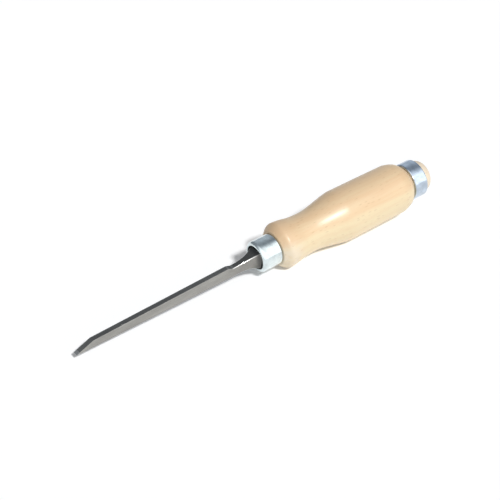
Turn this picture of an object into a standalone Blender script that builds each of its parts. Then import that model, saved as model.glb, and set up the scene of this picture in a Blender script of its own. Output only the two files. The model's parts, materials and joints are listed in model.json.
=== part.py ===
"""A narrow wood chisel in the four pieces that it comes apart into: blade, ferrule, handle and striking hoop.

Each piece is drawn along the chisel's own axis, +X running from the cutting edge to the butt, with x = 0 in the
plane of the ferrule's mouth. A parent empty then lays the chisel on a bench as it balances: the handle's bead
and the belly of its grip touch z = 0, the blade hangs clear, and the origin is the middle of the footprint.
Lengths are metres, angles are degrees.
"""

import math

import bmesh
import bpy
from mathutils import Vector, geometry

# Gap left between pieces that touch
CLEARANCE = 0.0003

# Ground part of the blade: flat back, flat sides and a top face that rises from toe to heel
BLADE_WIDTH = 0.0038
EXPOSED_LENGTH = 0.1347
BACK_BELOW_AXIS = 0.0044
TOE_THICKNESS = 0.0047
HEEL_THICKNESS = 0.0077
BEVEL_ANGLE = 21.5
HONING_LIFT = 4.5
EDGE_BEVEL_LENGTH = 0.0022

# Forged neck: falls away behind the ground top face, then flares into the round bolster
NECK_LENGTH = 0.0225
HEEL_STEP = 0.0011
HEEL_RUN = 0.0048
NECK_WIDTH = 0.0045
NECK_CORNER = 0.0009
WIDTH_FLARE = 3.0
HEIGHT_FLARE = 2.6
ROUND_FLARE = 8.0
BOLSTER_SETBACK = 0.0045
BOLSTER_THICKNESS = 0.0025
BOLSTER_CLEARANCE = 0.00045

# Tang: a square spike that tapers into the handle
TANG_LENGTH = 0.062
TANG_ROOT = 0.0070
TANG_POINT = 0.0030
TANG_CORNER = 0.0006

# Ferrule: a steel tube round the front of the handle, its mouth rolled in
FERRULE_DIAMETER = 0.0213
FERRULE_WALL = 0.0015
FERRULE_LENGTH = 0.0145
FERRULE_BEND_RADIUS = 0.0005
RING_EDGE_RADIUS = 0.0004

# Handle: diameters along the turned outline, and the length of each stretch between them
FERRULE_STEP = 0.0013
FRONT_RISE = 0.0058
BEAD_DIAMETER = 0.0314
BEAD_FALL = 0.0218
WAIST_DIAMETER = 0.0273
GRIP_SWELL = 0.0266
GRIP_DIAMETER = 0.0357
GRIP_LENGTH = 0.0461
GRIP_END_DIAMETER = 0.0348
REAR_FALL = 0.0105
BUTT_LENGTH = 0.0080
BUTT_LAND = 0.0010

# Striking hoop: a steel ring round the rear of the handle
HOOP_DIAMETER = 0.0263
HOOP_WALL = 0.00175
HOOP_LENGTH = 0.0104

# Fineness of the faceted surfaces
SIDES = 48
CORNER_STEPS = 4
NECK_STEPS = 14
SMOOTH_ANGLE = 25.0

# Worked out from the sizes above: radii that fit, angles, and stations along the axis
FERRULE_BORE = FERRULE_DIAMETER / 2 - FERRULE_WALL
FERRULE_LIP = FERRULE_BEND_RADIUS + FERRULE_WALL
MOUTH_RADIUS = FERRULE_DIAMETER / 2 - FERRULE_LIP - RING_EDGE_RADIUS
BOLSTER_RADIUS = MOUTH_RADIUS - BOLSTER_CLEARANCE
HOOP_BORE = HOOP_DIAMETER / 2 - HOOP_WALL
HOOP_SEAT = HOOP_BORE - CLEARANCE
EDGE_ANGLE = BEVEL_ANGLE + HONING_LIFT
TANG_START = BOLSTER_SETBACK + BOLSTER_THICKNESS
HANDLE_START = FERRULE_LENGTH + CLEARANCE
GRIP_START = FRONT_RISE + BEAD_FALL + GRIP_SWELL
HANDLE_REAR = GRIP_START + GRIP_LENGTH + REAR_FALL
HOOP_START = HANDLE_START + HANDLE_REAR + CLEARANCE
BUTT_START = HANDLE_REAR + CLEARANCE + HOOP_LENGTH
BLADE_BACK = -BACK_BELOW_AXIS
FLAT_SHARE = math.cos(math.pi / SIDES)


def clear_scene():
    for item in list(bpy.data.objects):
        bpy.data.objects.remove(item)


def finish_material(name, colour, roughness, metallic):
    material = bpy.data.materials.new(name)
    material.use_nodes = True
    shader = material.node_tree.nodes["Principled BSDF"]
    shader.inputs["Base Color"].default_value = (*colour, 1.0)
    shader.inputs["Roughness"].default_value = roughness
    shader.inputs["Metallic"].default_value = metallic
    return material


def piece(name, shape, material, parent, station):
    """A named object made from a bmesh, set on the axis at its station."""
    bmesh.ops.remove_doubles(shape, verts=shape.verts, dist=1e-7)
    bmesh.ops.recalc_face_normals(shape, faces=shape.faces)
    mesh = bpy.data.meshes.new(name)
    shape.to_mesh(mesh)
    shape.free()
    mesh.shade_smooth()
    mesh.set_sharp_from_angle(angle=math.radians(SMOOTH_ANGLE))
    mesh.materials.append(material)
    item = bpy.data.objects.new(name, mesh)
    item.parent = parent
    item.location = (station, 0.0, 0.0)
    bpy.context.scene.collection.objects.link(item)
    return item


def arc(centre, radius, start, end, steps):
    """Points (station, radius) on a round corner of an outline, from one angle to another."""
    angles = [math.radians(start + (end - start) * step / steps) for step in range(steps + 1)]
    return [(centre[0] + radius * math.cos(a), centre[1] + radius * math.sin(a)) for a in angles]


def bend(start, start_pull, end_pull, end, points):
    """Points of a smooth curve between two places on an outline, each with the pull that shapes it there."""
    knots = (
        Vector(start),
        Vector(start) + Vector(start_pull),
        Vector(end) + Vector(end_pull),
        Vector(end),
    )
    return [tuple(point[:2]) for point in geometry.interpolate_bezier(*[k.to_3d() for k in knots], points)]


def turned(outline, closed):
    """A bmesh spun round the axis from an outline of (station, radius) points, one flat side down."""
    shape = bmesh.new()
    half = math.pi / SIDES
    verts = [shape.verts.new((x, r * math.sin(half), -r * math.cos(half))) for x, r in outline]
    pairs = list(zip(verts, verts[1:]))
    if closed:
        pairs.append((verts[-1], verts[0]))
    edges = [shape.edges.new(pair) for pair in pairs]
    bmesh.ops.spin(
        shape,
        geom=verts + edges,
        cent=(0.0, 0.0, 0.0),
        axis=(1.0, 0.0, 0.0),
        angle=2 * math.pi,
        steps=SIDES,
        use_merge=True,
    )
    return shape


def section(station, width, top, bottom, corner):
    """A rectangle across the axis with rounded corners: sharp at 0, a circle at half the width."""
    middle = (top + bottom) / 2
    half_width = width / 2 - corner
    half_height = (top - bottom) / 2 - corner
    loop = []
    for quarter, (side, rise) in enumerate(((1, 1), (-1, 1), (-1, -1), (1, -1))):
        for step in range(CORNER_STEPS + 1):
            angle = math.radians(90 * (quarter + step / CORNER_STEPS))
            y = side * half_width + corner * math.cos(angle)
            z = middle + rise * half_height + corner * math.sin(angle)
            loop.append((station, y, z))
    return loop


def lofted(sections):
    """A closed bmesh through sections that all have the same number of points."""
    shape = bmesh.new()
    loops = [[shape.verts.new(point) for point in loop] for loop in sections]
    for near, far in zip(loops, loops[1:]):
        for i, vert in enumerate(near):
            following = (i + 1) % len(near)
            shape.faces.new((vert, near[following], far[following], far[i]))
    shape.faces.new(loops[0])
    shape.faces.new(reversed(loops[-1]))
    return shape


def ground_thickness(station):
    """Thickness of the ground bar at a station: it grows evenly from the toe to the heel."""
    share = (station + EXPOSED_LENGTH) / (EXPOSED_LENGTH - NECK_LENGTH)
    return TOE_THICKNESS + (HEEL_THICKNESS - TOE_THICKNESS) * share


def ground_sections():
    """The bar before its bevels, left longer than the blade by the length of the edge bevel."""
    stations = (-EXPOSED_LENGTH - EDGE_BEVEL_LENGTH, -NECK_LENGTH)
    return [section(x, BLADE_WIDTH, BLADE_BACK + ground_thickness(x), BLADE_BACK, 0.0) for x in stations]


def neck_sections():
    """The neck starts flush with the blade's back and flares out to the rim of the bolster."""
    start = -NECK_LENGTH + HEEL_RUN
    height = HEEL_THICKNESS - HEEL_STEP
    middle = BLADE_BACK + height / 2
    sections = []
    for step in range(NECK_STEPS + 1):
        share = step / NECK_STEPS
        width_share = share**WIDTH_FLARE
        height_share = share**HEIGHT_FLARE
        station = start + (BOLSTER_SETBACK - start) * share
        width = NECK_WIDTH + (2 * BOLSTER_RADIUS - NECK_WIDTH) * width_share
        half = (height + (2 * BOLSTER_RADIUS - height) * height_share) / 2
        corner = NECK_CORNER + (BOLSTER_RADIUS - NECK_CORNER) * share**ROUND_FLARE
        level = middle * (1 - share)
        sections.append(section(station, width, level + half, level - half, corner))
    return sections


def tang_section(distance, gap):
    """The tang's square section at a distance from the bolster, grown by a gap on every side."""
    size = TANG_ROOT + (TANG_POINT - TANG_ROOT) * distance / TANG_LENGTH
    half = size / 2 + gap
    return section(TANG_START + distance, 2 * half, half, -half, TANG_CORNER)


def grind(shape, place, angle):
    """Cuts away what lies above a plane that passes through a place on the blade and rises at an angle."""
    tilt = math.radians(angle)
    cut = bmesh.ops.bisect_plane(
        shape,
        geom=shape.verts[:] + shape.edges[:] + shape.faces[:],
        plane_co=place,
        plane_no=(-math.sin(tilt), 0.0, math.cos(tilt)),
        clear_outer=True,
    )
    rim = [item for item in cut["geom_cut"] if isinstance(item, bmesh.types.BMEdge)]
    bmesh.ops.edgenet_fill(shape, edges=rim)


def blade_shape():
    """Blade, neck, bolster and tang in one forging, with its main bevel and its honed edge bevel."""
    rim = section(TANG_START, 2 * BOLSTER_RADIUS, BOLSTER_RADIUS, -BOLSTER_RADIUS, BOLSTER_RADIUS)
    tang = [tang_section(0.0, 0.0), tang_section(TANG_LENGTH, 0.0)]
    shape = lofted(ground_sections() + neck_sections() + [rim] + tang)
    bmesh.ops.remove_doubles(shape, verts=shape.verts, dist=1e-7)
    bmesh.ops.recalc_face_normals(shape, faces=shape.faces)
    edge_rise = EDGE_BEVEL_LENGTH * math.tan(math.radians(EDGE_ANGLE))
    grind(shape, (-EXPOSED_LENGTH + EDGE_BEVEL_LENGTH, 0.0, BLADE_BACK + edge_rise), BEVEL_ANGLE)
    grind(shape, (-EXPOSED_LENGTH, 0.0, BLADE_BACK), EDGE_ANGLE)
    return shape


def ferrule_outline():
    """Tube with a rolled-in mouth at its front and a rounded edge at its rear."""
    outer = FERRULE_DIAMETER / 2
    edge = RING_EDGE_RADIUS
    lip_centre = (FERRULE_LIP, outer - FERRULE_LIP)
    points = arc((FERRULE_LENGTH - edge, outer - edge), edge, 0, 90, 3)
    points += arc(lip_centre, FERRULE_LIP, 90, 180, 6)
    points += arc((edge, MOUTH_RADIUS + edge), edge, 180, 270, 3)[1:]
    points.append((FERRULE_WALL, MOUTH_RADIUS))
    points += arc(lip_centre, FERRULE_BEND_RADIUS, 180, 90, 2)
    points.append((FERRULE_LENGTH, FERRULE_BORE))
    return points


def hoop_outline():
    """Plain ring with its outer edges rounded."""
    outer = HOOP_DIAMETER / 2
    edge = RING_EDGE_RADIUS
    points = [(HOOP_LENGTH, HOOP_BORE)]
    points += arc((HOOP_LENGTH - edge, outer - edge), edge, 0, 90, 3)
    points += arc((edge, outer - edge), edge, 90, 180, 3)
    points.append((0.0, HOOP_BORE))
    return points


def grip_outline():
    """The wood that shows between ferrule and hoop: front rise, bead, waist, swelling grip and rear fall."""
    front = (0.0, FERRULE_DIAMETER / 2 + FERRULE_STEP)
    bead = (FRONT_RISE, BEAD_DIAMETER / 2)
    waist = (FRONT_RISE + BEAD_FALL, WAIST_DIAMETER / 2)
    grip = (GRIP_START, GRIP_DIAMETER / 2)
    grip_end = (GRIP_START + GRIP_LENGTH, GRIP_END_DIAMETER / 2)
    rear = (HANDLE_REAR, HOOP_SEAT)
    rise = bead[1] - front[1]
    fall = bead[1] - waist[1]
    taper = grip[1] - grip_end[1]
    drop = grip_end[1] - rear[1]
    points = bend(front, (0.39 * FRONT_RISE, 0.55 * rise), (-0.40 * FRONT_RISE, 0.0), bead, 6)
    points += bend(bead, (0.51 * BEAD_FALL, -0.25 * fall), (-0.66 * BEAD_FALL, 0.0), waist, 9)[1:]
    points += bend(waist, (0.26 * GRIP_SWELL, 0.0), (-0.17 * GRIP_SWELL, 0.0), grip, 11)[1:]
    points += bend(grip, (0.22 * GRIP_LENGTH, 0.0), (-0.40 * GRIP_LENGTH, 0.6 * taper), grip_end, 6)[1:]
    points += bend(grip_end, (0.80 * REAR_FALL, -0.28 * drop), (-0.28 * REAR_FALL, 0.52 * drop), rear, 9)[1:]
    return points


def butt_outline():
    """The domed butt behind the hoop's seat, ending on the axis."""
    dome = BUTT_LENGTH - BUTT_LAND
    end = BUTT_START + BUTT_LENGTH
    land = (BUTT_START + BUTT_LAND, HOOP_SEAT)
    return bend(land, (0.7 * dome, 0.0), (0.0, 0.7 * HOOP_SEAT), (end, 0.0), 9)


def handle_outline():
    """Outline of the whole turned handle, axis to axis, from the spigot inside the ferrule to the butt."""
    spigot = FERRULE_BORE - CLEARANCE
    spigot_front = TANG_START + CLEARANCE - HANDLE_START
    points = [(spigot_front, 0.0), (spigot_front, spigot), (0.0, spigot)]
    return points + grip_outline() + butt_outline()


def rest_tilt(outline):
    """How far the axis rises to the rear when bead and belly lie on the bench: their common tangent."""
    waist = FRONT_RISE + BEAD_FALL
    front = [point for point in outline if 0 <= point[0] < waist]
    rear = [point for point in outline if point[0] > waist]
    slopes = [max((r2 - r1) / (x2 - x1) for x2, r2 in rear) for x1, r1 in front]
    return math.atan(min(slopes) * FLAT_SHARE)


def bench_axis(outline):
    """The empty that carries the pieces: it tilts the axis and centres the chisel over the origin."""
    tilt = rest_tilt(outline)
    level, rise = math.cos(tilt), math.sin(tilt)
    belly = [(HANDLE_START + x, r * FLAT_SHARE) for x, r in outline]
    front = -EXPOSED_LENGTH * level + BACK_BELOW_AXIS * rise
    rear = max(x * level + r * rise for x, r in belly)
    lift = max(r * level - x * rise for x, r in belly)
    axis = bpy.data.objects.new("chisel_axis", None)
    axis.rotation_euler = (0.0, -tilt, 0.0)
    axis.location = (-(front + rear) / 2, 0.0, lift)
    bpy.context.scene.collection.objects.link(axis)
    return axis


def cut_tang_hole(handle, axis, material):
    """A blind tapered hole for the tang, with the same gap all round it."""
    sections = [tang_section(-TANG_ROOT, CLEARANCE), tang_section(TANG_LENGTH + CLEARANCE, CLEARANCE)]
    cutter = piece("tang_hole", lofted(sections), material, axis, 0.0)
    cutter.hide_render = True
    cutter.display_type = "WIRE"
    cut = handle.modifiers.new("tang_hole", "BOOLEAN")
    cut.operation = "DIFFERENCE"
    cut.solver = "EXACT"
    cut.object = cutter


def main():
    clear_scene()
    steel = finish_material("ground_steel", (0.42, 0.43, 0.43), 0.34, 1.0)
    plating = finish_material("ferrule_zinc_plate", (0.66, 0.70, 0.75), 0.24, 1.0)
    hoop_plating = finish_material("hoop_zinc_plate", (0.64, 0.68, 0.74), 0.26, 1.0)
    wood = finish_material("lacquered_beech", (0.80, 0.61, 0.38), 0.32, 0.0)
    outline = handle_outline()
    axis = bench_axis(outline)
    piece("blade", blade_shape(), steel, axis, 0.0)
    piece("ferrule", turned(ferrule_outline(), closed=True), plating, axis, 0.0)
    handle = piece("handle", turned(outline, closed=False), wood, axis, HANDLE_START)
    cut_tang_hole(handle, axis, wood)
    piece("striking_hoop", turned(hoop_outline(), closed=True), hoop_plating, axis, HOOP_START)


main()
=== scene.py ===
"""Looks of a narrow wood chisel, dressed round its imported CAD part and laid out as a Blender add-on.

Every piece is drawn along the chisel's own axis, x = 0 at the ferrule's mouth and +x towards the butt, and is then
carried to the place where the CAD part lies. Lengths are metres.
"""

import json
import math

import bmesh
import bpy
from bpy.props import FloatProperty, FloatVectorProperty, PointerProperty
from mathutils import Euler, Matrix, Vector, geometry


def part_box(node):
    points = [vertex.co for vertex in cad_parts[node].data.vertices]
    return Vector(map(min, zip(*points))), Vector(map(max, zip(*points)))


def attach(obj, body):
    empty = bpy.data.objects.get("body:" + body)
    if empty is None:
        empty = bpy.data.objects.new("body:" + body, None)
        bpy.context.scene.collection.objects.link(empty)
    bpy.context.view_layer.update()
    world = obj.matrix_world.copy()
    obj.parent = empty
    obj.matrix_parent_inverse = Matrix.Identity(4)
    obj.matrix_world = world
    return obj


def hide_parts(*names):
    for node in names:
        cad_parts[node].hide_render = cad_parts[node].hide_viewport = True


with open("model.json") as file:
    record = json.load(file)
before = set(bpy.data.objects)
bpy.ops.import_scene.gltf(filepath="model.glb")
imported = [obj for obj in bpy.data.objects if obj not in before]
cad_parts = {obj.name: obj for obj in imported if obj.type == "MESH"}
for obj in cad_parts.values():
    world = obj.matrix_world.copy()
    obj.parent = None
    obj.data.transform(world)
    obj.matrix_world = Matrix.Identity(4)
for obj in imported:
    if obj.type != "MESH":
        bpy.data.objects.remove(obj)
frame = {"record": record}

bl_info = {
    "name": "Wood chisel",
    "version": (1, 0, 0),
    "blender": (4, 5, 0),
    "location": "View3D > Sidebar > Chisel",
    "description": "Builds a narrow wood chisel with a turned handle, a ferrule and a striking hoop",
    "category": "Object",
}

BODY = "root"

# How finely the pieces are built, and the angles from which their edges are shaded sharp.
TURNED_SIDES = 160
CORNER_POINTS = 8
FLARE_STATIONS = 28
HEEL_STATIONS = 8
BEND_SEGMENTS = 4
EDGE_SEGMENTS = 5
ROLL_SEGMENTS = 14
HOOP_SEGMENTS = 8
BORE_SEGMENTS = 3
MERGE_DISTANCE = 1e-7
RIM_REACH = 1e-6
FORGED_SHARP = math.radians(28.0)
TURNED_SHARP = math.radians(40.0)

# The share of the edge radius that rounds the lip of the ferrule's mouth, so that a sliver of flat is left.
LIP_SHARE = 0.95

# Attributes that tell the blade's finish where its long edges are and where its top face is, which gets painted
# shade.
EDGE_MARK = "edge_mark"
TOP_MARK = "top_mark"
MARK_POWER = 4

# Forms of the stretches of the handle's outline: the pulls at the start and at the end, as shares of the stretch's
# length and of its change in radius, and the number of points.
RISE_FORM = ((0.39, 0.55), (-0.40, 0.0), 16)
FALL_FORM = ((0.51, -0.25), (-0.66, 0.0), 24)
SWELL_FORM = ((0.26, 0.0), (-0.17, 0.0), 28)
TAPER_FORM = ((0.22, 0.0), (-0.40, 0.6), 18)
TUCK_FORM = ((0.80, -0.28), (-0.28, 0.52), 28)
DOME_FORM = ((0.7, 0.0), (0.0, 0.7), 24)

# Patterns of the finishes: how closely their features follow each other along the axis and across it, per metre.
GRAIN_DRIFT = (9.0, 60.0, 60.0)
GRAIN_FIBRES = (40.0, 900.0, 900.0)
GRAIN_FLECKS = (180.0, 850.0, 850.0)
BEAD_PATCHES = (160.0, 220.0, 220.0)
GRINDING_LINES = (22.0, 5200.0, 5200.0)
STEEL_CLOUDS = (70.0, 260.0, 260.0)
TURNING_LINES = (7200.0, 70.0, 70.0)
ZINC_CLOUDS = (240.0, 240.0, 240.0)
ZINC_WAVES = (120.0, 120.0, 120.0)

# Growth rings of the wood: the pith lies beside the handle and leans against it. The rings far from it, on the
# handle's upper back side, are tan: partly the wood's own tone, partly painted shade on that side.
TO_PITH = (0.0, 0.021, 0.034)
PITH_LEAN = (0.06, 1.0, 1.0)
RING_RATE = 900.0
RING_WANDER = 12.0
TAN_DEPTH = (0.0455, 0.0520)
TAN_WANDER = 0.010

# Where a pattern starts to show and where it is full, and how strongly it shows.
TONE_RANGE = (0.4, 1.7)
FLECK_CHANCE = (0.45, 0.6)
FLECK_SIZE = (0.10, 0.34)
FLECK_SHARE = 0.34
PATCH_RANGE = (0.34, 0.60)
BARE_SHARE = 0.8
WORN_RANGE = (0.30, 0.72)
NECK_SHARE = 0.9
# How strongly the shade painted in the ferrule's mouth shows.
MOUTH_SHADE_SHARE = 0.8
CLOUD_RANGE = (0.30, 0.70)
DULL_SHARE = 0.80

# Relief of the finishes, in metres.
WOOD_RELIEF = 0.00002
STEEL_RELIEF = 0.000012
ZINC_RELIEF = 0.00002

# Where wear, and the shade painted on the neck in the ferrule's mouth, start and end, in metres along the axis or
# above it.
RUBBED_BEAD = 0.012
BARE_BUTT = (-0.0020, 0.0005)
MOUTH_SHADE_HEIGHT = (-0.004, 0.002)
MOUTH_SHADE_BELOW = (-0.0060, 0.0005)
MOUTH_SHADE_ABOVE = (-0.0035, 0.0)
NECK_FADE = (-0.001, 0.012)
HONED_FADE = (-0.0002, 0.0001)

# The room that bright metal mirrors, by direction: x to the right, y to the back, z up, from -1 to 1.
WALL_TURN = 0.7
WALL_FADE = (-0.22, 0.50)
BAND_TOP = (0.50, 0.95)
BAND_LEFT = (0.34, 0.50)
BAND_RIGHT = (0.57, 0.70)
COOL = (0.84, 0.91, 1.0, 1.0)
WHITE = (1.0, 1.0, 1.0, 1.0)

# The floor lies a little below the chisel, so that the two never share a surface.
FLOOR_REACH = 6.0
FLOOR_CELLS = 4
FLOOR_DROP = 0.00005
SENSOR_WIDTH = 36.0
NEAREST_SEEN = 0.01


def length(name, description, default):
    return FloatProperty(name=name, description=description, default=default, unit="LENGTH", precision=5)


def angle(name, description, degrees):
    return FloatProperty(name=name, description=description, default=math.radians(degrees), subtype="ANGLE")


def number(name, description, default):
    return FloatProperty(name=name, description=description, default=default)


def colour(name, description, default):
    return FloatVectorProperty(name=name, description=description, default=default, subtype="COLOR", min=0, max=1)


class BladeSizes(bpy.types.PropertyGroup):
    """Sizes of the forging: blade, neck, bolster and tang."""

    width: length("Width", "Width of the blade between its flat sides", 0.0038)
    exposed: length("Exposed length", "Cutting edge to ferrule mouth", 0.1347)
    back_drop: length("Back drop", "How far the flat back lies below the axis", 0.0044)
    toe_thickness: length("Toe thickness", "Thickness that the bar would have at the cutting edge", 0.0047)
    heel_thickness: length("Heel thickness", "Thickness where the ground top face ends", 0.0077)
    bevel_angle: angle("Bevel angle", "Slope of the main bevel", 21.5)
    honing_lift: angle("Honing lift", "How much steeper the honed edge bevel is", 4.5)
    edge_bevel: length("Edge bevel", "Length of the honed edge bevel", 0.0022)
    edge_break: length("Edge break", "Rounding of the long ground edges", 0.00016)
    neck_length: length("Neck length", "Heel of the ground face to ferrule mouth", 0.0225)
    heel_step: length("Heel step", "Drop from the ground top face to the neck", 0.0011)
    heel_run: length("Heel run", "Length of that drop", 0.0048)
    neck_width: length("Neck width", "Width of the neck before it flares", 0.0045)
    neck_corner: length("Neck corner", "Rounding of the neck's edges", 0.0009)
    width_flare: number("Width flare", "How late the neck widens", 3.0)
    height_flare: number("Height flare", "How late the neck grows taller", 2.6)
    round_flare: number("Round flare", "How late the neck's edges round off", 20.0)
    bolster_setback: length("Bolster setback", "Ferrule mouth to the bolster's rim", 0.0045)
    bolster_thickness: length("Bolster thickness", "Thickness of the bolster's rim", 0.0025)
    bolster_gap: length("Bolster gap", "Gap between the bolster and the mouth it passes through", 0.00045)
    tang_length: length("Tang length", "Bolster to the point of the tang", 0.062)
    tang_root: length("Tang root", "Side of the square tang at the bolster", 0.0070)
    tang_point: length("Tang point", "Side of the square tang at its point", 0.0030)
    tang_corner: length("Tang corner", "Rounding of the tang's edges", 0.0006)


class RingSizes(bpy.types.PropertyGroup):
    """Sizes of the two steel rings on the handle."""

    ferrule_diameter: length("Ferrule diameter", "Outside of the ferrule", 0.0213)
    ferrule_wall: length("Ferrule wall", "Thickness of the ferrule's tube", 0.0015)
    ferrule_length: length("Ferrule length", "Mouth to rear edge", 0.0145)
    ferrule_bend: length("Ferrule bend", "Inside radius of the rolled-in mouth", 0.0005)
    hoop_diameter: length("Hoop diameter", "Outside of the striking hoop", 0.0263)
    hoop_wall: length("Hoop wall", "Thickness of the striking hoop", 0.00175)
    hoop_length: length("Hoop length", "Front edge to rear edge", 0.0104)
    edge_radius: length("Edge radius", "Rounding of the ferrule's edges", 0.0004)
    hoop_edge: length("Hoop edge", "Rounding of the hoop's outer edges", 0.0008)
    fit: length("Fit", "Gap between the rings and the wood", 0.0003)


class HandleSizes(bpy.types.PropertyGroup):
    """Diameters along the turned handle and the lengths between them."""

    ferrule_step: length("Ferrule step", "How far the wood stands proud of the ferrule", 0.0013)
    front_rise: length("Front rise", "Ferrule to the crest of the bead", 0.0058)
    bead_diameter: length("Bead diameter", "Diameter at the crest of the bead", 0.0314)
    bead_fall: length("Bead fall", "Crest of the bead to the waist", 0.0218)
    waist_diameter: length("Waist diameter", "Smallest diameter of the grip", 0.0273)
    grip_swell: length("Grip swell", "Waist to the thickest place", 0.0266)
    grip_diameter: length("Grip diameter", "Largest diameter of the grip", 0.0357)
    grip_length: length("Grip length", "Thickest place to the rear round-over", 0.0461)
    grip_end_diameter: length("Grip end diameter", "Diameter where the rear round-over starts", 0.0348)
    rear_fall: length("Rear fall", "Length of the rear round-over", 0.0105)
    butt_length: length("Butt length", "Hoop to the end of the butt", 0.0080)
    butt_land: length("Butt land", "Straight part of the butt behind the hoop", 0.0010)
    shoulder_round: length("Shoulder round", "Rounding of the shoulder beside the ferrule", 0.0005)


class FinishColours(bpy.types.PropertyGroup):
    """Colours of the wood and the metals."""

    wood_pale: colour("Pale wood", "Early wood of the handle", (0.775, 0.65, 0.425))
    # Tan wood also covers the handle's upper back side, partly as its own tone and partly as painted shade.
    wood_tan: colour("Tan wood", "Late wood of the handle", (0.72, 0.50, 0.298))
    wood_fleck: colour("Wood fleck", "Short flecks along the grain", (0.46, 0.30, 0.165))
    wood_bare: colour("Bare wood", "Bead and butt, where the lacquer is thin", (0.775, 0.67, 0.53))
    steel: colour("Ground steel", "Sides and top of the blade", (0.42, 0.415, 0.39))
    steel_dark: colour("Dark steel", "Traces in the ground steel, and the neck", (0.275, 0.268, 0.25))
    # Painted shade: this colour darkens the top face and the neck in the ferrule's mouth.
    steel_shade: colour("Shaded steel", "Painted shade on the top face and in the ferrule's mouth", (0.07, 0.07, 0.07))
    steel_honed: colour("Honed steel", "Edge bevel fresh from the stone", (0.50, 0.50, 0.49))
    steel_bright: colour("Bright steel", "Edges of the neck, rubbed bright", (0.62, 0.62, 0.61))
    ferrule_plate: colour("Ferrule plate", "Zinc plate of the ferrule", (0.74, 0.82, 0.835))
    hoop_plate: colour("Hoop plate", "Zinc plate of the hoop", (0.58, 0.67, 0.775))
    floor: colour("Floor", "Studio floor", (0.98, 0.98, 0.98))


class StudioSettings(bpy.types.PropertyGroup):
    """Camera and lamps."""

    target: FloatVectorProperty(
        name="Target",
        description="Point that the camera looks at",
        default=(-0.00372, 0.00701, 0.01620),
        subtype="XYZ",
        unit="LENGTH",
    )
    azimuth: angle("Azimuth", "Camera's turn round the chisel", -35.5709)
    elevation: angle("Elevation", "Camera's height angle", 37.1963)
    roll: angle("Roll", "Camera's turn about its own axis", -1.048)
    distance: length("Distance", "Target to camera", 0.90215)
    focal: number("Focal length", "Lens in millimetres", 100.8)
    key_azimuth: angle("Key azimuth", "Where the lamp stands round the chisel", 2.0)
    key_elevation: angle("Key elevation", "Height angle of the lamp", 50.0)
    key_spread: angle("Key spread", "How wide the lamp looks from the chisel", 8.5)
    key_level: number("Key level", "How brightly the lamp lights white paper that faces it", 0.88)
    fill_level: number("Fill level", "Even light that the room sheds on the chisel", 0.235)
    fill_wall: number("Wall fill", "What the white walls add to it", 0.07)
    wall_level: number("Wall level", "Brightness of the white walls that bright metal mirrors", 1.36)
    room_level: number("Room level", "Brightness of the rest of the room in the metal", 0.315)
    horizon_level: number("Horizon level", "What a low band of light at the right adds there", 0.38)
    floor_glow: number("Floor glow", "What the floor adds to itself where it is seen", 0.10)


class Value:
    """A number in a node tree. Arithmetic on it adds Math nodes."""

    def __init__(self, nodes, socket):
        self.nodes = nodes
        self.socket = socket

    def math(self, operation, *values):
        return self.nodes.add("ShaderNodeMath", {"operation": operation}, dict(enumerate(values)))

    def __add__(self, other):
        return self.math("ADD", self, other)

    def __radd__(self, other):
        return self.math("ADD", other, self)

    def __sub__(self, other):
        return self.math("SUBTRACT", self, other)

    def __rsub__(self, other):
        return self.math("SUBTRACT", other, self)

    def __mul__(self, other):
        return self.math("MULTIPLY", self, other)

    def __rmul__(self, other):
        return self.math("MULTIPLY", other, self)

    def bigger(self, other):
        return self.math("MAXIMUM", self, other)

    def wave(self):
        return self.math("SINE", self)


class Nodes:
    """A node tree and the one way that nodes are added to it."""

    def __init__(self, tree):
        self.tree = tree

    def add(self, kind, settings=None, inputs=None, output=0):
        node = self.tree.nodes.new(kind)
        for key, value in (settings or {}).items():
            setattr(node, key, value)
        for key, value in (inputs or {}).items():
            self.plug(node.inputs[key], value)
        return Value(self, node.outputs[output]) if node.outputs else None

    def plug(self, socket, value):
        if isinstance(value, Value):
            self.tree.links.new(socket, value.socket)
        else:
            socket.default_value = value

    def step(self, value, low, high):
        """0 below low, 1 above high, and a smooth rise between them."""
        settings = {"interpolation_type": "SMOOTHSTEP"}
        return self.add("ShaderNodeMapRange", settings, {"Value": value, "From Min": low, "From Max": high})

    def mix(self, share, first, second):
        """A colour between two colours."""
        return self.add("ShaderNodeMix", {"data_type": "RGBA"}, {0: share, 6: first, 7: second}, 2)

    def stretched(self, place, scale):
        """A place with its three directions scaled."""
        return self.add("ShaderNodeVectorMath", {"operation": "MULTIPLY"}, {0: place, 1: scale})

    def noise(self, place, scale, detail=2.0, roughness=0.5):
        inputs = {"Vector": self.stretched(place, scale), "Scale": 1.0, "Detail": detail, "Roughness": roughness}
        return self.add("ShaderNodeTexNoise", None, inputs)


class Finish(Nodes):
    """A new material with a Principled shader, read along the chisel's axis."""

    def __init__(self, name, axis):
        self.material = bpy.data.materials.new(name)
        self.material.use_nodes = True
        super().__init__(self.material.node_tree)
        self.shader = self.tree.nodes["Principled BSDF"]
        at = self.add("ShaderNodeTexCoord", None, None, "Object")
        settings = {"vector_type": "TEXTURE"}
        place = {"Vector": at, "Location": axis.to_translation(), "Rotation": axis.to_euler()}
        self.place = self.add("ShaderNodeMapping", settings, place)

    def along(self):
        """Station along the axis."""
        return self.add("ShaderNodeSeparateXYZ", None, {0: self.place}, "X")

    def surface(self, **sockets):
        for name, value in sockets.items():
            self.plug(self.shader.inputs[name.replace("_", " ").title()], value)

    def relief(self, height, depth):
        """Bumps of the given depth in metres."""
        bump = self.add("ShaderNodeBump", None, {"Height": height, "Strength": 1.0, "Distance": depth})
        self.plug(self.shader.inputs["Normal"], bump)


def rgb(value):
    return (*value, 1.0)


def around(place, fade):
    """A start and an end, given from a place."""
    return place + fade[0], place + fade[1]


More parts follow.
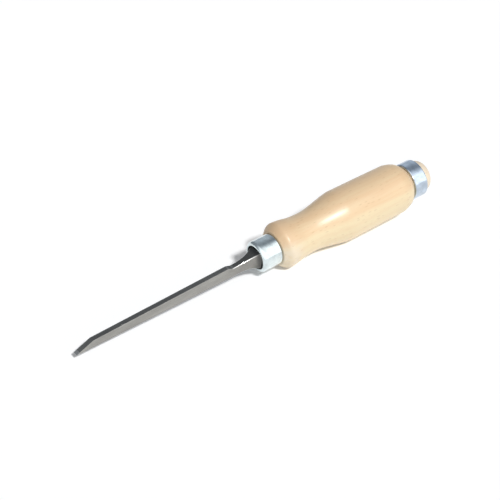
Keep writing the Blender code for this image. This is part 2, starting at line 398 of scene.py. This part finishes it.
def beech_finish(colours, bead, butt, axis):
    """Pale beech under clear lacquer: faint rings, fine fibres and short flecks that run with the grain."""
    wood = Finish("lacquered_beech", axis)
    drift = wood.noise(wood.place, GRAIN_DRIFT, 2.0)
    pith = wood.add("ShaderNodeVectorMath", {"operation": "ADD"}, {0: wood.place, 1: TO_PITH})
    across = wood.stretched(pith, PITH_LEAN)
    depth = wood.add("ShaderNodeVectorMath", {"operation": "LENGTH"}, {0: across}, "Value")
    rings = 0.5 + 0.5 * (depth * RING_RATE + drift * RING_WANDER).wave()
    fibres = wood.noise(wood.place, GRAIN_FIBRES, 4.0, 0.65)
    # Partly painted shade: the upper back side of the handle, turned from the lamp, goes tan, more so on the bead.
    outer = wood.step(depth + TAN_WANDER * drift, *TAN_DEPTH)
    station = wood.along()
    rubbed = 1.0 - wood.step(station, bead, bead + RUBBED_BEAD)
    tan = 0.22 * rings + 0.7 * fibres + 0.5 * drift + (0.6 + 0.3 * rubbed) * outer
    cells = {"Vector": wood.stretched(wood.place, GRAIN_FLECKS), "Scale": 1.0}
    spot = wood.add("ShaderNodeTexVoronoi", None, cells, "Distance")
    chance = wood.add("ShaderNodeTexVoronoi", None, cells, "Color")
    chosen = wood.step(wood.add("ShaderNodeSeparateColor", None, {0: chance}), *FLECK_CHANCE)
    flecks = (1.0 - wood.step(spot, *FLECK_SIZE)) * chosen
    ground = wood.mix(wood.step(tan, *TONE_RANGE), rgb(colours.wood_pale), rgb(colours.wood_tan))
    patches = wood.noise(wood.place, BEAD_PATCHES, 4.0, 0.65)
    handled = rubbed * (1.0 - 0.9 * outer) * (0.3 + 0.7 * wood.step(patches, *PATCH_RANGE))
    bare = handled.bigger(wood.step(station, *around(butt, BARE_BUTT)))
    thin = wood.mix(BARE_SHARE * bare, ground, rgb(colours.wood_bare))
    wood.surface(
        base_color=wood.mix(flecks * FLECK_SHARE, thin, rgb(colours.wood_fleck)),
        roughness=0.36 + 0.10 * fibres,
        coat_weight=0.31 - 0.1 * flecks - 0.24 * rubbed,
        coat_roughness=0.27,
    )
    wood.relief(fibres * 0.6 - flecks * 0.5, WOOD_RELIEF)
    return wood.material


def steel_finish(colours, sizes, axis):
    """Steel ground along its length, darker on the forged neck, with shade painted on the top face and in the
    ferrule's mouth, bright on the honed bevel.
    """
    steel = Finish("ground_steel", axis)
    lines = steel.noise(steel.place, GRINDING_LINES, 3.0, 0.65)
    clouds = steel.noise(steel.place, STEEL_CLOUDS, 3.0, 0.55)
    station = steel.along()
    height = steel.add("ShaderNodeSeparateXYZ", None, {0: steel.place}, "Z")
    # Painted shade: the neck is darkened in the ferrule's mouth, first below the axis and then all round.
    shade_below = (1.0 - steel.step(height, *MOUTH_SHADE_HEIGHT)) * steel.step(station, *MOUTH_SHADE_BELOW)
    mouth_shade = shade_below.bigger(steel.step(station, *MOUTH_SHADE_ABOVE))
    heel = -sizes.neck_length
    neck = steel.step(station, *around(heel, NECK_FADE))
    edge = steel.step(station, heel + sizes.heel_run / 2, heel + sizes.heel_run)
    rubbed = edge * steel.add("ShaderNodeAttribute", {"attribute_name": EDGE_MARK}, None, "Fac")
    top = steel.add("ShaderNodeAttribute", {"attribute_name": TOP_MARK}, None, "Fac")
    honed = 1.0 - steel.step(station, *around(sizes.edge_bevel - sizes.exposed, HONED_FADE))
    worn = steel.step(0.6 * lines + 0.4 * clouds, *WORN_RANGE)
    ground = steel.mix(worn, rgb(colours.steel_dark), rgb(colours.steel))
    forged = steel.mix(neck * NECK_SHARE, ground, rgb(colours.steel_dark))
    # Painted shade: the top face is darkened, more on the neck than on the blade.
    top_shaded = steel.mix(top * (0.27 + 0.18 * neck), forged, rgb(colours.steel_shade))
    mouth_shaded = steel.mix(mouth_shade * MOUTH_SHADE_SHARE, top_shaded, rgb(colours.steel_shade))
    bright = steel.mix(rubbed * (1.0 - mouth_shade), mouth_shaded, rgb(colours.steel_bright))
    steel.surface(
        base_color=steel.mix(honed, bright, rgb(colours.steel_honed)),
        metallic=1.0,
        roughness=0.15 + 0.12 * clouds + 0.05 * neck + 0.14 * honed,
    )
    steel.relief(lines + 0.3 * clouds, STEEL_RELIEF)
    return steel.material


def zinc_finish(name, plate, axis):
    """Bright zinc plate: faint turning lines round the ring under a cloudy, slightly wavy plate."""
    zinc = Finish(name, axis)
    turning = zinc.noise(zinc.place, TURNING_LINES, 2.0, 0.6)
    clouds = zinc.noise(zinc.place, ZINC_CLOUDS, 3.0, 0.55)
    waves = zinc.noise(zinc.place, ZINC_WAVES, 1.0)
    dull = tuple(DULL_SHARE * channel for channel in plate)
    zinc.surface(
        base_color=zinc.mix(zinc.step(clouds, *CLOUD_RANGE), rgb(dull), rgb(plate)),
        metallic=1.0,
        roughness=0.09 + 0.10 * clouds,
    )
    zinc.relief(waves * 12.0 + turning * 0.35, ZINC_RELIEF)
    return zinc.material


def chisel_axis(scene):
    """The move from the chisel's own axis to the place where the CAD part lies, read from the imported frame."""
    back = next(mount for mount in frame["record"]["mounts"] if mount["name"] == "blade_back")
    rise = math.atan2(back["axis"][0], -back["axis"][2])
    low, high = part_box("striking_hoop")
    middle = hoop_start(scene) + scene.chisel_rings.hoop_length / 2
    from_hoop = Matrix.Translation((-middle, 0, 0))
    return Matrix.Translation((low + high) / 2) @ Matrix.Rotation(-rise, 4, "Y") @ from_hoop


def handle_start(scene):
    return scene.chisel_rings.ferrule_length + scene.chisel_rings.fit


def handle_rear(scene):
    wood = scene.chisel_handle
    return wood.front_rise + wood.bead_fall + wood.grip_swell + wood.grip_length + wood.rear_fall


def hoop_start(scene):
    return handle_start(scene) + handle_rear(scene) + scene.chisel_rings.fit


def mouth_radius(rings):
    return rings.ferrule_diameter / 2 - rings.ferrule_bend - rings.ferrule_wall - rings.edge_radius


def bend(start, start_pull, end_pull, end, points):
    """Points of a smooth curve between two places on an outline, each with the pull that shapes it there."""
    first, last = Vector(start).to_3d(), Vector(end).to_3d()
    knots = (first, first + Vector(start_pull).to_3d(), last + Vector(end_pull).to_3d(), last)
    return [tuple(point[:2]) for point in geometry.interpolate_bezier(*knots, points)]


def stretch(start, end, form):
    """One stretch of an outline, in one of the forms listed at the top."""
    (start_run, start_lift), (end_run, end_lift), points = form
    run, change = end[0] - start[0], abs(end[1] - start[1])
    start_pull = (start_run * run, start_lift * change)
    end_pull = (end_run * run, end_lift * change)
    return bend(start, start_pull, end_pull, end, points)


def turned(outline, closed):
    """A bmesh spun round the axis from an outline of (station, radius) points."""
    shape = bmesh.new()
    verts = [shape.verts.new((station, 0.0, radius)) for station, radius in outline]
    pairs = list(zip(verts, verts[1:])) + ([(verts[-1], verts[0])] if closed else [])
    edges = [shape.edges.new(pair) for pair in pairs]
    bmesh.ops.spin(
        shape,
        geom=verts + edges,
        cent=(0.0, 0.0, 0.0),
        axis=(1.0, 0.0, 0.0),
        angle=2 * math.pi,
        steps=TURNED_SIDES,
        use_merge=True,
    )
    clean(shape)
    return shape


def clean(shape):
    bmesh.ops.remove_doubles(shape, verts=shape.verts, dist=MERGE_DISTANCE)
    bmesh.ops.recalc_face_normals(shape, faces=shape.faces)


def round_rim(shape, station, radius, amount, segments):
    """Rounds the circular edge at a station and radius of a turned shape."""
    near = [
        vert
        for vert in shape.verts
        if abs(vert.co.x - station) < RIM_REACH and abs(vert.co.yz.length - radius) < RIM_REACH
    ]
    found = set(near)
    edges = [edge for edge in shape.edges if found.issuperset(edge.verts)]
    if len(edges) != TURNED_SIDES:
        raise RuntimeError(f"no full rim at station {station}, radius {radius}")
    bmesh.ops.bevel(
        shape,
        geom=edges,
        offset=amount,
        affect="EDGES",
        segments=segments,
        profile=0.5,
        material=-1,
    )


def place_piece(name, node, shape, material, axis, sharp_angle):
    """Carries a finished shape to where the CAD part lies and lets it stand for its CAD node."""
    bmesh.ops.transform(shape, matrix=axis, verts=shape.verts)
    clean(shape)
    mesh = bpy.data.meshes.new(name)
    shape.to_mesh(mesh)
    shape.free()
    mesh.shade_smooth()
    mesh.set_sharp_from_angle(angle=sharp_angle)
    mesh.materials.append(material)
    piece = bpy.data.objects.new(name, mesh)
    bpy.context.scene.collection.objects.link(piece)
    even = piece.modifiers.new("even_shading", "WEIGHTED_NORMAL")
    even.keep_sharp = True
    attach(piece, BODY)
    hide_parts(node)


def section(shape, station, width, top, bottom, corner):
    """The edges of a rectangle with rounded corners across the axis: a circle, marked and pulled apart."""
    turn = Matrix.Rotation(math.pi / (4 * CORNER_POINTS), 4, "Z")
    ring = bmesh.ops.create_circle(shape, segments=4 * CORNER_POINTS, radius=1.0, matrix=turn)["verts"]
    half_width = width / 2 - corner
    half_height = (top - bottom) / 2 - corner
    middle = (top + bottom) / 2
    edge_mark, top_mark = [shape.verts.layers.float[name] for name in (EDGE_MARK, TOP_MARK)]
    for vert in ring:
        across, up = vert.co.xy
        vert[edge_mark] = abs(2 * across * up) ** MARK_POWER
        vert[top_mark] = max(up, 0.0) ** MARK_POWER
        side = math.copysign(half_width, across) + corner * across
        level = middle + math.copysign(half_height, up) + corner * up
        vert.co = (station, side, level)
    return list({edge for vert in ring for edge in vert.link_edges})


def ground_thickness(sizes, station):
    """Thickness of the ground bar, which grows evenly from toe to heel."""
    share = (station + sizes.exposed) / (sizes.exposed - sizes.neck_length)
    return sizes.toe_thickness + (sizes.heel_thickness - sizes.toe_thickness) * share


def ground_sections(shape, sizes):
    """The bar before its bevels, longer than the blade by the edge bevel."""
    back = -sizes.back_drop
    loops = []
    for station in (-sizes.exposed - sizes.edge_bevel, -sizes.neck_length):
        top = back + ground_thickness(sizes, station)
        loops.append(section(shape, station, sizes.width, top, back, sizes.edge_break))
    return loops


def heel_sections(shape, sizes):
    """The hollow where the ground top face ends and drops to the neck."""
    back = -sizes.back_drop
    loops = []
    for step in range(1, HEEL_STATIONS):
        share = step / HEEL_STATIONS
        drop = share * share * (3 - 2 * share)
        width = sizes.width + (sizes.neck_width - sizes.width) * share
        top = back + sizes.heel_thickness - sizes.heel_step * drop
        corner = sizes.edge_break + (sizes.neck_corner - sizes.edge_break) * drop
        loops.append(section(shape, -sizes.neck_length + sizes.heel_run * share, width, top, back, corner))
    return loops


def neck_sections(shape, sizes, bolster):
    """The neck, which starts flush with the blade's back and flares to the rim of the bolster."""
    start = -sizes.neck_length + sizes.heel_run
    height = sizes.heel_thickness - sizes.heel_step
    middle = -sizes.back_drop + height / 2
    loops = []
    for step in range(FLARE_STATIONS + 1):
        share = step / FLARE_STATIONS
        width_share = share**sizes.width_flare
        height_share = share**sizes.height_flare
        station = start + (sizes.bolster_setback - start) * share
        width = sizes.neck_width + (2 * bolster - sizes.neck_width) * width_share
        half = (height + (2 * bolster - height) * height_share) / 2
        corner = sizes.neck_corner + (bolster - sizes.neck_corner) * share**sizes.round_flare
        level = middle * (1 - share)
        loops.append(section(shape, station, width, level + half, level - half, corner))
    return loops


def tang_sections(shape, sizes, bolster):
    """The rear of the bolster and the square tang behind it."""
    root = sizes.bolster_setback + sizes.bolster_thickness
    loops = [section(shape, root, 2 * bolster, bolster, -bolster, bolster)]
    for station, side in ((root, sizes.tang_root), (root + sizes.tang_length, sizes.tang_point)):
        loops.append(section(shape, station, side, side / 2, -side / 2, sizes.tang_corner))
    return loops


def grind(shape, place, slope):
    """Cuts away what lies above a plane through a place on the blade and closes the cut."""
    cut = bmesh.ops.bisect_plane(
        shape,
        geom=shape.verts[:] + shape.edges[:] + shape.faces[:],
        plane_co=place,
        plane_no=(-math.sin(slope), 0.0, math.cos(slope)),
        clear_outer=True,
    )
    rim = [item for item in cut["geom_cut"] if isinstance(item, bmesh.types.BMEdge)]
    bmesh.ops.edgenet_fill(shape, edges=rim)


class CHISEL_OT_blade(bpy.types.Operator):
    """Forge the blade with its neck, bolster and tang, and grind its bevels"""

    bl_idname = "chisel.blade"
    bl_label = "Blade"

    def execute(self, context):
        scene = context.scene
        sizes = scene.chisel_blade
        bolster = mouth_radius(scene.chisel_rings) - sizes.bolster_gap
        shape = bmesh.new()
        for name in (EDGE_MARK, TOP_MARK):
            shape.verts.layers.float.new(name)
        loops = ground_sections(shape, sizes) + heel_sections(shape, sizes)
        loops += neck_sections(shape, sizes, bolster) + tang_sections(shape, sizes, bolster)
        for near, far in zip(loops, loops[1:]):
            bmesh.ops.bridge_loops(shape, edges=near + far)
        bmesh.ops.edgeloop_fill(shape, edges=loops[0] + loops[-1])
        clean(shape)
        edge_slope = sizes.bevel_angle + sizes.honing_lift
        rise = sizes.edge_bevel * math.tan(edge_slope)
        grind(shape, (sizes.edge_bevel - sizes.exposed, 0.0, rise - sizes.back_drop), sizes.bevel_angle)
        grind(shape, (-sizes.exposed, 0.0, -sizes.back_drop), edge_slope)
        axis = chisel_axis(scene)
        material = steel_finish(scene.chisel_colours, sizes, axis)
        place_piece("forged_blade", "blade", shape, material, axis, FORGED_SHARP)
        return {"FINISHED"}


class CHISEL_OT_ferrule(bpy.types.Operator):
    """Roll the ferrule with its turned-in mouth"""

    bl_idname = "chisel.ferrule"
    bl_label = "Ferrule"

    def execute(self, context):
        scene = context.scene
        rings = scene.chisel_rings
        outer = rings.ferrule_diameter / 2
        bore = outer - rings.ferrule_wall
        mouth = mouth_radius(rings)
        wall, rear, edge = rings.ferrule_wall, rings.ferrule_length, rings.edge_radius
        outline = [(rear, outer), (0.0, outer), (0.0, mouth), (wall, mouth), (wall, bore), (rear, bore)]
        shape = turned(outline, closed=True)
        round_rim(shape, wall, bore, rings.ferrule_bend, BEND_SEGMENTS)
        round_rim(shape, 0.0, mouth, LIP_SHARE * edge, EDGE_SEGMENTS)
        round_rim(shape, 0.0, outer, rings.ferrule_bend + wall, ROLL_SEGMENTS)
        round_rim(shape, rear, outer, edge, EDGE_SEGMENTS)
        axis = chisel_axis(scene)
        material = zinc_finish("ferrule_zinc", scene.chisel_colours.ferrule_plate, axis)
        place_piece("rolled_ferrule", "ferrule", shape, material, axis, TURNED_SHARP)
        return {"FINISHED"}


class CHISEL_OT_hoop(bpy.types.Operator):
    """Make the striking hoop round the rear of the handle"""

    bl_idname = "chisel.hoop"
    bl_label = "Striking hoop"

    def execute(self, context):
        scene = context.scene
        rings = scene.chisel_rings
        outer = rings.hoop_diameter / 2
        bore = outer - rings.hoop_wall
        front = hoop_start(scene)
        rear = front + rings.hoop_length
        shape = turned([(rear, outer), (front, outer), (front, bore), (rear, bore)], closed=True)
        for station in (front, rear):
            round_rim(shape, station, outer, rings.hoop_edge, HOOP_SEGMENTS)
            round_rim(shape, station, bore, rings.edge_radius / 3, BORE_SEGMENTS)
        axis = chisel_axis(scene)
        material = zinc_finish("hoop_zinc", scene.chisel_colours.hoop_plate, axis)
        place_piece("plated_hoop", "striking_hoop", shape, material, axis, TURNED_SHARP)
        return {"FINISHED"}


def grip_outline(wood, front, rear_radius):
    """The wood that shows between the rings: front rise, bead, waist, swelling grip and rear round-over."""
    bead = (wood.front_rise, wood.bead_diameter / 2)
    waist = (bead[0] + wood.bead_fall, wood.waist_diameter / 2)
    grip = (waist[0] + wood.grip_swell, wood.grip_diameter / 2)
    grip_end = (grip[0] + wood.grip_length, wood.grip_end_diameter / 2)
    rear = (grip_end[0] + wood.rear_fall, rear_radius)
    points = stretch((0.0, front), bead, RISE_FORM)
    points += stretch(bead, waist, FALL_FORM)[1:]
    points += stretch(waist, grip, SWELL_FORM)[1:]
    points += stretch(grip, grip_end, TAPER_FORM)[1:]
    points += stretch(grip_end, rear, TUCK_FORM)[1:]
    return points


def bore_outline(scene):
    """The blind hole for the tang, from its end to the front face: round, and clear of the tang's edges."""
    sizes, fit = scene.chisel_blade, scene.chisel_rings.fit
    front = sizes.bolster_setback + sizes.bolster_thickness + fit
    end = front + sizes.tang_length
    reach = math.sqrt(0.5)
    return [(end, 0.0), (end, sizes.tang_point * reach + fit), (front, sizes.tang_root * reach + fit)]


class CHISEL_OT_handle(bpy.types.Operator):
    """Turn the handle, from the spigot inside the ferrule to the domed butt"""

    bl_idname = "chisel.handle"
    bl_label = "Handle"

    def execute(self, context):
        scene = context.scene
        wood, rings = scene.chisel_handle, scene.chisel_rings
        start, rear = handle_start(scene), handle_rear(scene)
        spigot = rings.ferrule_diameter / 2 - rings.ferrule_wall - rings.fit
        seat = rings.hoop_diameter / 2 - rings.hoop_wall - rings.fit
        front_radius = rings.ferrule_diameter / 2 + wood.ferrule_step
        hole = bore_outline(scene)
        land = start + rear + rings.fit + rings.hoop_length + wood.butt_land
        tip = land + wood.butt_length - wood.butt_land
        outline = hole + [(hole[-1][0], spigot), (start, spigot)]
        outline += [(start + x, radius) for x, radius in grip_outline(wood, front_radius, seat)]
        outline += stretch((land, seat), (tip, 0.0), DOME_FORM)
        shape = turned(outline, closed=False)
        round_rim(shape, start, front_radius, wood.shoulder_round, BEND_SEGMENTS)
        axis = chisel_axis(scene)
        material = beech_finish(scene.chisel_colours, start + wood.front_rise, land, axis)
        place_piece("turned_handle", "handle", shape, material, axis, TURNED_SHARP)
        return {"FINISHED"}


def seen_ray(nodes):
    """1 for a ray that the camera sees, directly, mirrored or through glass, and 0 for one that lights things."""
    paths = ("Is Camera Ray", "Is Glossy Ray", "Is Transmission Ray")
    camera, glossy, through = [nodes.add("ShaderNodeLightPath", None, None, path) for path in paths]
    return camera.bigger(glossy).bigger(through)


def floor_material(colours, glow):
    """White paper: it takes shadows, and adds a little light of its own where it is seen."""
    material = bpy.data.materials.new("white_paper")
    material.use_nodes = True
    nodes = Nodes(material.node_tree)
    nodes.tree.nodes.clear()
    seen = seen_ray(nodes)
    paper = nodes.add("ShaderNodeBsdfDiffuse", None, {"Color": rgb(colours.floor)})
    shine = nodes.add("ShaderNodeEmission", None, {"Color": WHITE, "Strength": seen * glow})
    both = nodes.add("ShaderNodeAddShader", None, {0: paper, 1: shine})
    nodes.add("ShaderNodeOutputMaterial", None, {"Surface": both})
    return material


def light_room(scene):
    """A soft room. Metal mirrors it white in front and at the left, darker and cooler behind and at the right.

    The light that it sheds is nearly even, and the camera sees plain white past the floor.
    """
    studio = scene.chisel_studio
    world = bpy.data.worlds.new("soft_room")
    world.use_nodes = True
    scene.world = world
    nodes = Nodes(world.node_tree)
    nodes.tree.nodes.clear()
    look = nodes.add("ShaderNodeTexCoord", None, None, "Generated")
    right, back, height = [nodes.add("ShaderNodeSeparateXYZ", None, {0: look}, axis) for axis in "XYZ"]
    wall = 1.0 - nodes.step(back + WALL_TURN * right.bigger(0.0), *WALL_FADE)
    band = nodes.step(right, *BAND_LEFT) * (1.0 - nodes.step(right, *BAND_RIGHT))
    low = (1.0 - nodes.step(height, *BAND_TOP)) * band
    shown = studio.room_level + (studio.wall_level - studio.room_level) * wall + studio.horizon_level * low
    shed = studio.fill_level + studio.fill_wall * wall
    mirrored = shed + (shown - shed) * seen_ray(nodes)
    camera = nodes.add("ShaderNodeLightPath", None, None, "Is Camera Ray")
    level = mirrored + (1.0 - mirrored) * camera
    tint = nodes.mix(wall.bigger(camera), COOL, WHITE)
    room = nodes.add("ShaderNodeBackground", None, {"Color": tint, "Strength": level})
    nodes.add("ShaderNodeOutputWorld", None, {"Surface": room})


def soft_lamp(scene):
    """The one lamp: wide and far, in front of the chisel and above it, so it lights the whole floor evenly."""
    studio = scene.chisel_studio
    lamp = bpy.data.lights.new("soft_lamp", "SUN")
    lamp.angle = studio.key_spread
    lamp.energy = studio.key_level * math.pi
    light = bpy.data.objects.new("soft_lamp", lamp)
    light.matrix_world = looking(Vector(studio.target), studio.key_azimuth, studio.key_elevation, 0.0, 1.0)
    scene.collection.objects.link(light)


def looking(target, azimuth, elevation, roll, distance):
    """The place and turn of something that looks at a target from an azimuth and elevation."""
    back = Vector(
        (
            math.sin(azimuth) * math.cos(elevation),
            -math.cos(azimuth) * math.cos(elevation),
            math.sin(elevation),
        )
    )
    turn = Euler((math.pi / 2 - elevation, 0.0, azimuth)).to_matrix() @ Matrix.Rotation(roll, 3, "Z")
    return Matrix.Translation(target + back * distance) @ turn.to_4x4()


class CHISEL_OT_stage(bpy.types.Operator):
    """Lay the floor, light the room and set the camera"""

    bl_idname = "chisel.stage"
    bl_label = "Stage"

    def execute(self, context):
        scene = context.scene
        studio = scene.chisel_studio
        sheet = bmesh.new()
        bmesh.ops.create_grid(
            sheet,
            x_segments=FLOOR_CELLS,
            y_segments=FLOOR_CELLS,
            size=FLOOR_REACH,
            matrix=Matrix.Translation((0, 0, -FLOOR_DROP)),
        )
        mesh = bpy.data.meshes.new("studio_floor")
        sheet.to_mesh(mesh)
        sheet.free()
        mesh.materials.append(floor_material(scene.chisel_colours, studio.floor_glow))
        floor = bpy.data.objects.new("studio_floor", mesh)
        scene.collection.objects.link(floor)
        light_room(scene)
        soft_lamp(scene)
        lens = bpy.data.cameras.new("camera")
        lens.lens = studio.focal
        lens.sensor_width = SENSOR_WIDTH
        lens.clip_start = NEAREST_SEEN
        camera = bpy.data.objects.new("camera", lens)
        camera.matrix_world = looking(
            Vector(studio.target), studio.azimuth, studio.elevation, studio.roll, studio.distance
        )
        scene.collection.objects.link(camera)
        scene.camera = camera
        scene.view_settings.view_transform = "Standard"
        return {"FINISHED"}


class CHISEL_PT_sidebar(bpy.types.Panel):
    """Lists the pieces of the chisel"""

    bl_label = "Wood chisel"
    bl_space_type = "VIEW_3D"
    bl_region_type = "UI"
    bl_category = "Chisel"

    def draw(self, context):
        for operator in OPERATORS:
            self.layout.operator(operator.bl_idname)


GROUPS = {
    "chisel_blade": BladeSizes,
    "chisel_rings": RingSizes,
    "chisel_handle": HandleSizes,
    "chisel_colours": FinishColours,
    "chisel_studio": StudioSettings,
}
OPERATORS = (CHISEL_OT_stage, CHISEL_OT_blade, CHISEL_OT_ferrule, CHISEL_OT_handle, CHISEL_OT_hoop)


def register():
    for kind in (*GROUPS.values(), *OPERATORS, CHISEL_PT_sidebar):
        bpy.utils.register_class(kind)
    for name, group in GROUPS.items():
        setattr(bpy.types.Scene, name, PointerProperty(type=group))


def unregister():
    for name in GROUPS:
        delattr(bpy.types.Scene, name)
    for kind in reversed((*GROUPS.values(), *OPERATORS, CHISEL_PT_sidebar)):
        bpy.utils.unregister_class(kind)


def main():
    register()
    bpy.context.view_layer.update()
    bpy.ops.chisel.stage()
    bpy.ops.chisel.blade()
    bpy.ops.chisel.ferrule()
    bpy.ops.chisel.handle()
    bpy.ops.chisel.hoop()


if __name__ == "__main__":
    main()
